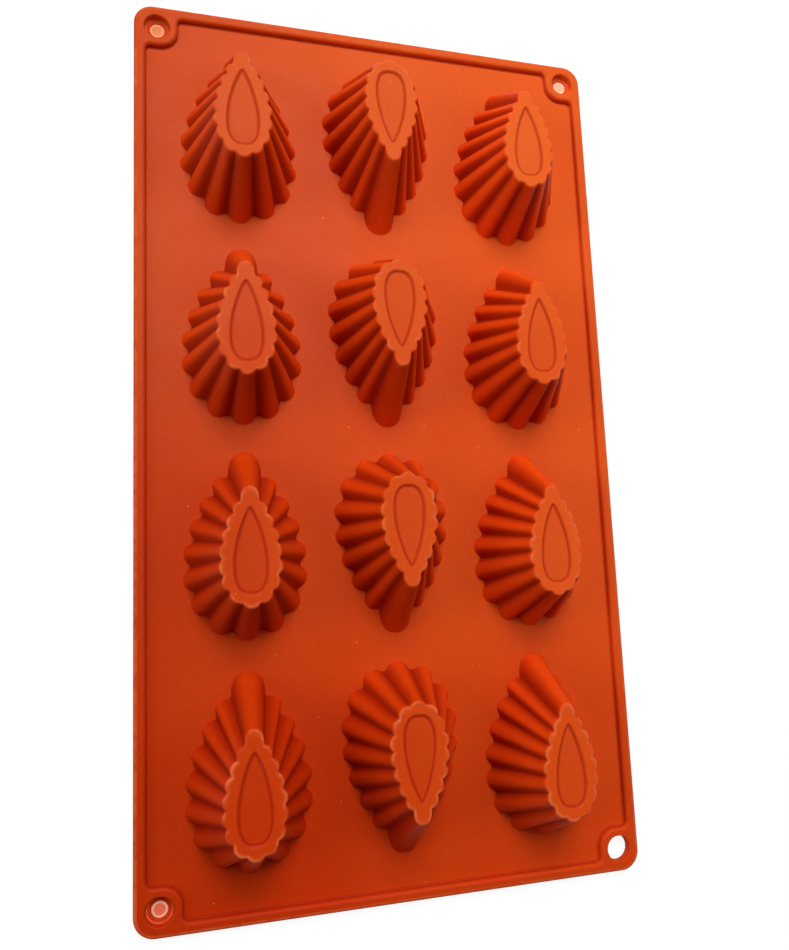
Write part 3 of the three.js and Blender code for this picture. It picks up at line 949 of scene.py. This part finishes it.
def shell_profile(cup):
    """Closed profile of a cup's wall, crown ring and the collar of web round its foot."""
    profile = Profile()
    ceiling = CROWN_TOP - cup.crown_thickness

    # Slope up from the floor panel, the level crown and its scalloped edge
    slope = cup.recess_slope
    shade = cup.groove_shade
    # The crown rows carry painted light, and the slope down to the panel painted shade
    profile.add((0, ceiling), ring=PANEL_RING, crown=1.0, groove=shade)
    for part in SLOPE_PARTS:
        rise = (CROWN_TOP - PANEL_TOP) * (1 - math.cos(math.pi * part)) / 2
        row = (slope * part, PANEL_TOP + rise)
        profile.add(row, ring=PANEL_RING, crown=1.0, groove=shade * (1 - part))
    bevel = cup.crown_round_edge
    start = slope + FLAT_STRIP
    end = -bevel - FLAT_STRIP
    profile.add((start, CROWN_TOP), ring=PANEL_RING, crown=1.0)
    profile.cross((start, PANEL_RING), (end, WALL_RING), CROWN_TOP, LEVEL_ROWS, crown=1.0)
    # The crown's edge is paler, with wear and painted highlight
    profile.add((end, CROWN_TOP), crown=1.0, rub=HALF_MARK)
    edge = rounded((-bevel, CROWN_TOP - bevel), bevel, 90, 0, CUP_EDGE_STEPS)
    profile.add(*edge, rub=1.0, crown=HALF_MARK)

    # Fluted wall, down through its fillet to the web
    fillet = cup.base_fillet
    wall_top = (0, CROWN_TOP - bevel)
    wall_foot = (0, WEB_TOP + fillet)
    profile.add((0, CROWN_TOP - bevel - FLAT_STRIP), wall=HALF_MARK)
    profile.add(*between(wall_top, wall_foot, WALL_ROWS), wall=1.0)
    profile.add((0, WEB_TOP + fillet * FOOT_ROW), wall=1.0)
    foot = rounded((fillet, WEB_TOP + fillet), fillet, 180, 270, CUP_EDGE_STEPS)
    # Painted shade at the wall's foot and on the web beside it
    profile.add(*foot[:-1], wall=1.0, crease=FOOT_PAINTED_SHADE)
    profile.add((fillet, WEB_TOP), collar=1.0, crease=COLLAR_PAINTED_SHADE)
    profile.add((fillet + FLAT_STRIP, WEB_TOP), collar=1.0)
    profile.add((cup.collar, WEB_TOP), (cup.collar, WEB_LOW.z), collar=1.0, seam=1.0)

    # Pouring lip, the wall's inside and the ceiling
    lip = cup.lip_round
    inner = -cup.wall
    profile.add((inner + lip + FLAT_STRIP, WEB_LOW.z), collar=1.0)
    profile.add(*rounded((inner + lip, WEB_LOW.z + lip), lip, 270, 180, EDGE_STEPS))
    hollow = cup.inside_fillet
    profile.add(*between((inner, WEB_TOP), (inner, ceiling - hollow), WALL_ROWS))
    profile.add(*rounded((inner - hollow, ceiling - hollow), hollow, 0, 90, HOLLOW_STEPS))
    start = inner - hollow - FLAT_STRIP
    profile.add((start, ceiling))
    profile.cross((start, WALL_RING), (0.0, PANEL_RING), ceiling, CEILING_ROWS)
    return profile.mesh("cup wall profile", closed=True)


def panel_profile(cup):
    """Open profile of a floor panel, from the middle of its top to the middle of its underside."""
    profile = Profile()
    side = -cup.panel_gap
    width = cup.groove_width
    inside = side - width - FLAT_STRIP
    under = side - FLAT_STRIP
    profile.add((0, PANEL_TOP), ring=MIDDLE_RING)
    profile.cross((0.0, MIDDLE_RING), (inside, PANEL_RING), PANEL_TOP, LEVEL_ROWS)
    profile.add((inside, PANEL_TOP), ring=PANEL_RING)
    # Painted shade deepens down the groove
    for part in SLOPE_PARTS:
        fall = cup.groove_depth * (1 - math.cos(part * math.pi / 2))
        row = (side - width * (1 - part), PANEL_TOP - fall)
        profile.add(row, ring=PANEL_RING, groove=part * cup.groove_shade)
    profile.add((side, PANEL_UNDER + FLAT_STRIP), ring=PANEL_RING, groove=cup.groove_shade)
    profile.add((under, PANEL_UNDER), ring=PANEL_RING)
    profile.cross((under, PANEL_RING), (0.0, MIDDLE_RING), PANEL_UNDER, LEVEL_ROWS)
    profile.add((0, PANEL_UNDER), ring=MIDDLE_RING)
    return profile.mesh("floor panel profile", closed=False)


def face_outward(mesh):
    """Turns the faces of a closed mesh over where they look in, and marks its hard edges."""
    made = bmesh.new()
    made.from_mesh(mesh)
    if made.calc_volume(signed=True) < 0:
        bmesh.ops.reverse_faces(made, faces=made.faces)
    made.to_mesh(mesh)
    made.free()
    mesh.set_sharp_from_angle(angle=HARD_ANGLE)


def bake(piece):
    """Leaves a node-made piece as a plain mesh."""
    graph = bpy.context.evaluated_depsgraph_get()
    mesh = bpy.data.meshes.new_from_object(piece.evaluated_get(graph), depsgraph=graph)
    profile = piece.data
    piece.modifiers.clear()
    piece.data = mesh
    mesh.name = piece.name
    bpy.data.meshes.remove(profile)
    face_outward(mesh)


def new_piece(name, mesh):
    """An object for a mesh, linked to the scene at the origin."""
    piece = bpy.data.objects.new(name, mesh)
    bpy.context.scene.collection.objects.link(piece)
    return piece


def cup_place(label, base_tip):
    """Middle of a cup and which way it faces: 1 where its tip points to +Y, -1 where to -Y."""
    low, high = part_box(f"cup_shell_{label}")
    panel_low, panel_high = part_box(f"cup_floor_{label}")
    facing = 1 if panel_low.y + panel_high.y < low.y + high.y else -1
    tip = high.y if facing > 0 else low.y
    return Vector(((low.x + high.x) / 2, tip - facing * base_tip, 0)), facing


class MOULD_OT_cups(bpy.types.Operator):
    """Sweep the fluted wall and the floor panel of every cup"""

    bl_idname = "mould.cups"
    bl_label = "Make the cups"

    def execute(self, context):
        cup = context.scene.mould_cup
        tree = make_sweep_tree()
        values = sweep_values(cup)
        values["Collar Finish"] = finish("tray silicone")
        for label in CUP_LABELS:
            middle, facing = cup_place(label, cup.base_tip)
            values.update({"Middle": middle, "Facing": facing})
            values["Wall Finish"] = finish("cup silicone")
            shell = self.sweep(f"cup_wall_{label}", shell_profile(cup), tree, values)
            values["Wall Finish"] = finish("panel silicone")
            panel = self.sweep(f"floor_panel_{label}", panel_profile(cup), tree, values)
            foot = (middle.x, middle.y, WEB_TOP + cup.base_fillet)
            top = (middle.x, middle.y, PANEL_TOP)
            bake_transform(shell, "tray", f"floor_{label}", foot, top)
            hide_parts(f"cup_shell_{label}")
            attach(panel, f"floor_{label}")
            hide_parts(f"cup_floor_{label}")
        return {"FINISHED"}

    def sweep(self, name, profile, tree, values):
        """A piece swept from its profile by the node tree, left as a plain mesh."""
        piece = new_piece(name, profile)
        modifier = piece.modifiers.new("Fluted sweep", "NODES")
        modifier.node_group = tree
        set_inputs(modifier, values)
        bake(piece)
        return piece


# Tray

def corner_turns():
    """Each corner's outer point, the way that the outline runs to it and the way in from there."""
    ways = ((0, -1), (1, 0), (0, 1), (-1, 0))
    for (x, y), way in zip(CORNER_SIGNS, ways):
        travel = Vector(way)
        yield Vector((WEB_HIGH.x * x, WEB_HIGH.y * y)), travel, Vector((-travel.y, travel.x))


def corner_arc(centre, radius, start, end):
    """Points along a round of the tray's outlines."""
    return rounded(centre, radius, start, end, CORNER_STEPS)


def edge_loop(inset, radius):
    """The tray's outer outline, set in by a distance."""
    points = []
    for point, travel, inward in corner_turns():
        middle = (radius, radius)
        for side, ahead in corner_arc(middle, radius - inset, 180, 270):
            points.append(point + inward * side - travel * ahead)
    return points


def web_loop(inset, rim, pad, pad_round, pad_fillet):
    """The rim's and pads' outline on the web side, moved into the web by a distance."""
    points = []
    for point, travel, inward in corner_turns():
        near = rim + pad_fillet
        far = pad + pad_fillet
        core = pad - pad_round
        path = corner_arc((near, far), pad_fillet - inset, 180, 270)
        path += corner_arc((core, core), pad_round + inset, 90, 0)
        path += corner_arc((far, near), pad_fillet - inset, 180, 270)
        points += [point + inward * side - travel * ahead for side, ahead in path]
    return points


def circle_loop(centre, radius):
    """Points round a corner hole or disc."""
    turns = [math.tau * i / HOLE_STEPS for i in range(HOLE_STEPS)]
    return [centre + Vector((math.cos(a), math.sin(a))) * radius for a in turns]


def hole_centre(corner):
    """Middle of a corner hole. The four mirror each other, so the far right disc places them all."""
    low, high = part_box("hole_disc_far_right")
    x = (low.x + high.x) / 2
    y = (low.y + high.y) / 2
    return Vector((-x if "left" in corner else x, -y if "near" in corner else y))


def disc_radius(corner):
    """Radius of the disc that closes a corner hole."""
    low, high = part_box(f"hole_disc_{corner}")
    return (high.x - low.x) / 2


class Skin:
    """A closed mesh put together from level loops, the bands between them and level fills."""

    def __init__(self, *marks):
        self.made = bmesh.new()
        for name in marks:
            self.made.verts.layers.float.new(name)

    def loop(self, points, height):
        """New points on a level, over flat ones."""
        return [self.made.verts.new((p[0], p[1], height)) for p in points]

    def mark(self, loops, name, value):
        """Gives the points of some loops a value under a name."""
        layer = self.made.verts.layers.float[name]
        for loop in loops:
            for vert in loop:
                vert[layer] = value

    def band(self, first, second, finish_index=0):
        """Faces between two loops of as many points."""
        count = len(first)
        for i in range(count):
            j = (i + 1) % count
            face = self.made.faces.new((first[i], first[j], second[j], second[i]))
            face.material_index = finish_index

    def loft(self, loops, finish_index=0):
        """Bands from each loop to the next."""
        for first, second in zip(loops, loops[1:]):
            self.band(first, second, finish_index)

    def fill(self, outer, holes):
        """Triangles across a level between its outer loop and the loops inside it."""
        corners = []
        outlines = []
        for loop in (outer, *holes):
            outlines.append(range(len(corners), len(corners) + len(loop)))
            corners += loop
        flat = [v.co.xy for v in corners]
        made = delaunay_2d_cdt(flat, [], outlines, INSIDE_WITH_HOLES, SAME_CORNER)
        # Its triangles, and the given points that their corners come from
        triangles, sources = made[2:4]
        for triangle in triangles:
            self.made.faces.new([corners[sources[i][0]] for i in triangle])

    def mesh(self, name):
        """The skin as a smooth mesh with its faces outward."""
        bmesh.ops.recalc_face_normals(self.made, faces=self.made.faces)
        for face in self.made.faces:
            face.smooth = True
        mesh = bpy.data.meshes.new(name)
        self.made.to_mesh(mesh)
        self.made.free()
        face_outward(mesh)
        return mesh


def collar_loops(wall):
    """The upper and lower edge of a cup's collar, in the order of its steps."""
    mesh = wall.data
    steps = mesh.attributes["step"].data
    seams = mesh.attributes["seam"].data
    edge = [v for v in mesh.vertices if seams[v.index].value > HALF_MARK]
    edge.sort(key=lambda v: steps[v.index].value)
    middle = (WEB_TOP + WEB_LOW.z) / 2
    return [v.co for v in edge if v.co.z > middle], [v.co for v in edge if v.co.z < middle]


class MOULD_OT_tray(bpy.types.Operator):
    """Build the web, rim bead, corner pads and holes as one skin that meets the cups' collars"""

    bl_idname = "mould.tray"
    bl_label = "Make the tray"

    def execute(self, context):
        tray = context.scene.mould_tray
        skin = Skin("crease", "rub")
        outer = self.outer_side(skin, tray)
        inner = self.inner_side(skin, tray)
        holes = [self.corner_hole(skin, tray, corner) for corner in CORNERS]
        uppers, lowers = zip(*(self.opening(skin, label) for label in CUP_LABELS))

        # Rim and pads, web and underside
        skin.fill(outer[-1], [inner[0], *(loops[0] for loops in holes)])
        skin.fill(inner[-1], uppers)
        skin.fill(outer[0], [*lowers, *(loops[-1] for loops in holes)])

        mesh = skin.mesh("tray_sheet")
        mesh.materials.append(finish("tray silicone"))
        mesh.materials.append(finish("well silicone"))
        piece = new_piece("tray_sheet", mesh)
        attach(piece, "tray")
        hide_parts("web_sheet", "rim_left", "rim_right", "rim_near", "rim_far")
        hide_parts(*(f"corner_pad_{corner}" for corner in CORNERS))
        return {"FINISHED"}

    def outer_side(self, skin, tray):
        """Loops of the tray's outer side, from the underside up to the rim's top."""
        lower = tray.under_round
        bead = tray.rim_round
        rows = [(lower + FLAT_STRIP, WEB_LOW.z)]
        rows += rounded((lower, WEB_LOW.z + lower), lower, 270, 180, EDGE_STEPS)
        bead_rows = rounded((bead, RIM_TOP - bead), bead, 180, 90, BEAD_STEPS)
        rows += [*bead_rows, (bead + FLAT_STRIP, RIM_TOP)]
        loops = [skin.loop(edge_loop(inset, tray.corner_radius), z) for inset, z in rows]
        skin.loft(loops)
        # Wear with painted highlight along the rim's outer edge
        skin.mark(loops[-1 - len(bead_rows):-1], "rub", tray.rim_wear_and_highlight)
        return loops

    def inner_side(self, skin, tray):
        """Loops of the inner side of the rim and pads, down through a fillet to the web."""
        bead = tray.rim_round
        foot = tray.web_fillet
        rows = [(-bead - FLAT_STRIP, RIM_TOP)]
        rows += rounded((-bead, RIM_TOP - bead), bead, 90, 0, BEAD_STEPS)
        foot_rows = rounded((foot, WEB_TOP + foot), foot, 180, 270, EDGE_STEPS)
        rows += [*foot_rows, (foot + FLAT_STRIP, WEB_TOP)]
        rim_low, rim_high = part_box("rim_left")
        pad_low, pad_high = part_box("corner_pad_near_left")
        shape = (rim_high.x - rim_low.x, pad_high.x - pad_low.x, tray.pad_round, tray.pad_fillet)
        loops = [skin.loop(web_loop(inset, *shape), z) for inset, z in rows]
        skin.loft(loops)
        # Painted shade at the foot of the rim's inner side
        skin.mark(loops[-1 - len(foot_rows):-1], "crease", tray.foot_shade)
        return loops

    def opening(self, skin, label):
        """Upper and lower loop of the web's opening, which a cup's collar fits."""
        above, below = collar_loops(bpy.data.objects[f"cup_wall_{label}"])
        upper = skin.loop(above, WEB_TOP)
        lower = skin.loop(below, WEB_LOW.z)
        skin.band(upper, lower)
        return upper, lower

    def corner_hole(self, skin, tray, corner):
        """Loops of a corner hole, from the pad's top down to the underside."""
        radius = tray.hole_diameter / 2
        centre = hole_centre(corner)
        edge = tray.hole_round
        rows = [(radius + edge + FLAT_STRIP, RIM_TOP)]
        rows += rounded((radius + edge, RIM_TOP - edge), edge, 90, 180, EDGE_STEPS)
        funnel = []
        if corner in CLOSED_CORNERS:
            nook = tray.ledge_round
            mouth = radius - tray.ledge_width
            throat = disc_radius(corner)
            rows += rounded((radius - nook, WEB_TOP + nook), nook, 0, -90, NOOK_STEPS)
            ledge = [(mouth + nook + FLAT_STRIP / 2, WEB_TOP)]
            ledge += rounded((mouth + nook, WEB_TOP - nook), nook, 90, 150, NOOK_STEPS)
            rows += ledge
            lip = tray.under_round / 2
            funnel = between(rows[-1], (throat, DISC_TOP), FUNNEL_ROWS)
            funnel += [(throat, DISC_TOP), (throat, DISC_UNDER)]
            funnel += rounded((throat + lip, WEB_LOW.z + lip), lip, 180, 270, NOOK_STEPS)
            funnel += [(throat + lip + FLAT_STRIP, WEB_LOW.z)]
        else:
            lip = tray.under_round
            rows += rounded((radius + lip, WEB_LOW.z + lip), lip, 180, 270, EDGE_STEPS)
            rows += [(radius + lip + FLAT_STRIP, WEB_LOW.z)]
        loops = [skin.loop(circle_loop(centre, r), z) for r, z in rows]
        skin.loft(loops)
        if funnel:
            # The ledge is paler, with wear and painted highlight
            skin.mark(loops[-len(ledge):], "rub", 1.0)
            deep = [loops[-1]] + [skin.loop(circle_loop(centre, r), z) for r, z in funnel]
            skin.loft(deep, finish_index=1)
            loops += deep[1:]
        return loops


# Corner discs

class MOULD_OT_discs(bpy.types.Operator):
    """Turn the thin discs that close three of the corner holes"""

    bl_idname = "mould.discs"
    bl_label = "Make the corner discs"

    def execute(self, context):
        tray = context.scene.mould_tray
        for corner in CLOSED_CORNERS:
            piece = new_piece(f"corner_disc_{corner}", self.membrane(tray, corner))
            piece.data.materials.append(finish(f"disc silicone {corner.replace('_', ' ')}"))
            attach(piece, "tray")
            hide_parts(f"hole_disc_{corner}")
        return {"FINISHED"}

    def membrane(self, tray, corner):
        """A thin disc with a raised pale ring, marked by the ring attribute."""
        radius = disc_radius(corner)
        inner = radius - tray.disc_ring
        floor = DISC_TOP - tray.disc_ring_rise
        soft = tray.disc_ring_rise
        core = inner * DISC_CORE
        rows = [(core, floor), (inner - soft * 2, floor), (inner - soft, floor + soft * DISC_RAMP)]
        ring_start = len(rows)
        rows += [(inner, DISC_TOP), (inner + soft, DISC_TOP)]
        rows += rounded((radius - soft, DISC_TOP - soft), soft, 90, 0, NOOK_STEPS)
        rows += rounded((radius - soft, DISC_UNDER + soft), soft, 0, -90, NOOK_STEPS)
        rows += [(core, DISC_UNDER)]
        skin = Skin("ring")
        centre = hole_centre(corner)
        loops = [skin.loop(circle_loop(centre, r), z) for r, z in rows]
        skin.loft(loops)
        skin.mark(loops[ring_start:-1], "ring", 1.0)
        skin.fill(loops[0], [])
        skin.fill(loops[-1], [])
        return skin.mesh(f"corner_disc_{corner}")


# Stage

# Each lamp's name, its heading from +Y towards +X and its height in degrees, and its share of the
# light that would make a white sheet full white
LAMPS = (
    ("far window", 0, 58, 0.84),
    ("right window", 85, 47, 0.185),
    ("left window", -90, 25, 0.31),
)


class MOULD_OT_stage(bpy.types.Operator):
    """Set the white floor, the lamps and the camera"""

    bl_idname = "mould.stage"
    bl_label = "Set the stage"

    def execute(self, context):
        settings = context.scene.mould_stage
        self.floor()
        self.lamps(settings)
        self.camera(settings)
        context.scene.view_settings.view_transform = "Standard"
        return {"FINISHED"}

    def floor(self):
        """A white floor that the camera sees aglow, with a soft shadow left in it."""
        height = WEB_LOW.z - FLOOR_DROP
        corners = [(x * FLOOR_HALF, y * FLOOR_HALF, height) for x, y in CORNER_SIGNS]
        mesh = bpy.data.meshes.new("studio_floor")
        mesh.from_pydata(corners, [], [range(len(corners))])
        material = bpy.data.materials.new("studio white")
        material.use_nodes = True
        tree = material.node_tree
        shader = tree.nodes["Principled BSDF"]
        shader.inputs["Base Color"].default_value = FLOOR_GREY
        shader.inputs["Roughness"].default_value = FLOOR_ROUGHNESS
        shader.inputs["Specular IOR Level"].default_value = 0.0
        glow = wire(tree, "ShaderNodeEmission", {"Color": WHITE, "Strength": FLOOR_GLOW})
        seen = wire(tree, "ShaderNodeLightPath", output="Is Camera Ray") * FLOOR_GLOW_SHARE
        blend = wire(tree, "ShaderNodeMixShader", {0: seen, 1: out(tree, shader), 2: glow})
        plug(tree, blend, tree.nodes["Material Output"].inputs["Surface"])
        mesh.materials.append(material)
        new_piece("studio_floor", mesh)

    def lamps(self, settings):
        """Square lamps round the mould, and a world that shows white but lights little."""
        for name, heading, height, level in LAMPS:
            data = bpy.data.lights.new(name, "AREA")
            data.size = settings.lamp_size
            # A lamp of this power would light a white sheet that faces it to full white
            full = (math.pi * settings.lamp_distance) ** 2
            data.energy = full * level * settings.lamp_level
            lamp = bpy.data.objects.new(name, data)
            turn = math.radians(heading)
            rise = math.radians(height)
            flat = Vector((math.sin(turn), math.cos(turn), 0)) * math.cos(rise)
            lamp.location = (flat + Vector((0, 0, math.sin(rise)))) * settings.lamp_distance
            lamp.rotation_euler = (-lamp.location).to_track_quat("-Z", "Y").to_euler()
            bpy.context.scene.collection.objects.link(lamp)
        world = bpy.data.worlds.new("studio")
        world.use_nodes = True
        tree = world.node_tree
        backdrop = tree.nodes["Background"]
        backdrop.inputs["Color"].default_value = WHITE
        ray = tree.nodes.new("ShaderNodeLightPath")
        shown = settings.ambient
        for kind in ("Is Camera Ray", "Is Glossy Ray", "Is Transmission Ray"):
            shown = out(tree, ray, kind).math("MAXIMUM", shown)
        plug(tree, shown, backdrop.inputs["Strength"])
        bpy.context.scene.world = world

    def camera(self, settings):
        """A camera where the photograph was taken from."""
        data = bpy.data.cameras.new("photo camera")
        data.lens = settings.lens
        data.shift_x = settings.shift_x
        data.shift_y = settings.shift_y
        data.clip_start = CAMERA_NEAR
        camera = bpy.data.objects.new("photo camera", data)
        place = Vector(settings.camera_place)
        back = (place - Vector(settings.camera_aim)).normalized()
        heading = settings.camera_heading
        upright = Vector((math.sin(heading), math.cos(heading), 0))
        right = upright.cross(back).normalized()
        turn = Matrix((right, back.cross(right), back)).transposed()
        camera.matrix_world = Matrix.Translation(place) @ turn.to_4x4()
        bpy.context.scene.collection.objects.link(camera)
        bpy.context.scene.camera = camera


GROUPS = {
    "mould_cup": CupSizes, "mould_tray": TraySizes, "mould_looks": SiliconeLooks,
    "mould_stage": StageSettings,
}
OPERATORS = (MOULD_OT_cups, MOULD_OT_tray, MOULD_OT_discs, MOULD_OT_stage)


class MOULD_PT_sidebar(bpy.types.Panel):
    """Lists the steps that make the mould, with the sizes and colours that they take"""

    bl_idname = "MOULD_PT_sidebar"
    bl_label = "Flower cake mould"
    bl_space_type = "VIEW_3D"
    bl_region_type = "UI"
    bl_category = "Mould"

    def draw(self, context):
        for operator in OPERATORS:
            self.layout.operator(operator.bl_idname)
        for group, kind in GROUPS.items():
            box = self.layout.box()
            for name in kind.__annotations__:
                box.prop(getattr(context.scene, group), name)


def register():
    for kind in (*GROUPS.values(), *OPERATORS, MOULD_PT_sidebar):
        bpy.utils.register_class(kind)
    for group, kind in GROUPS.items():
        setattr(bpy.types.Scene, group, PointerProperty(type=kind))


def unregister():
    for group in GROUPS:
        delattr(bpy.types.Scene, group)
    for kind in (MOULD_PT_sidebar, *reversed(OPERATORS), *GROUPS.values()):
        bpy.utils.unregister_class(kind)


def main():
    register()
    bpy.ops.mould.cups()
    bpy.ops.mould.tray()
    bpy.ops.mould.discs()
    bpy.ops.mould.stage()


if __name__ == "__main__":
    main()
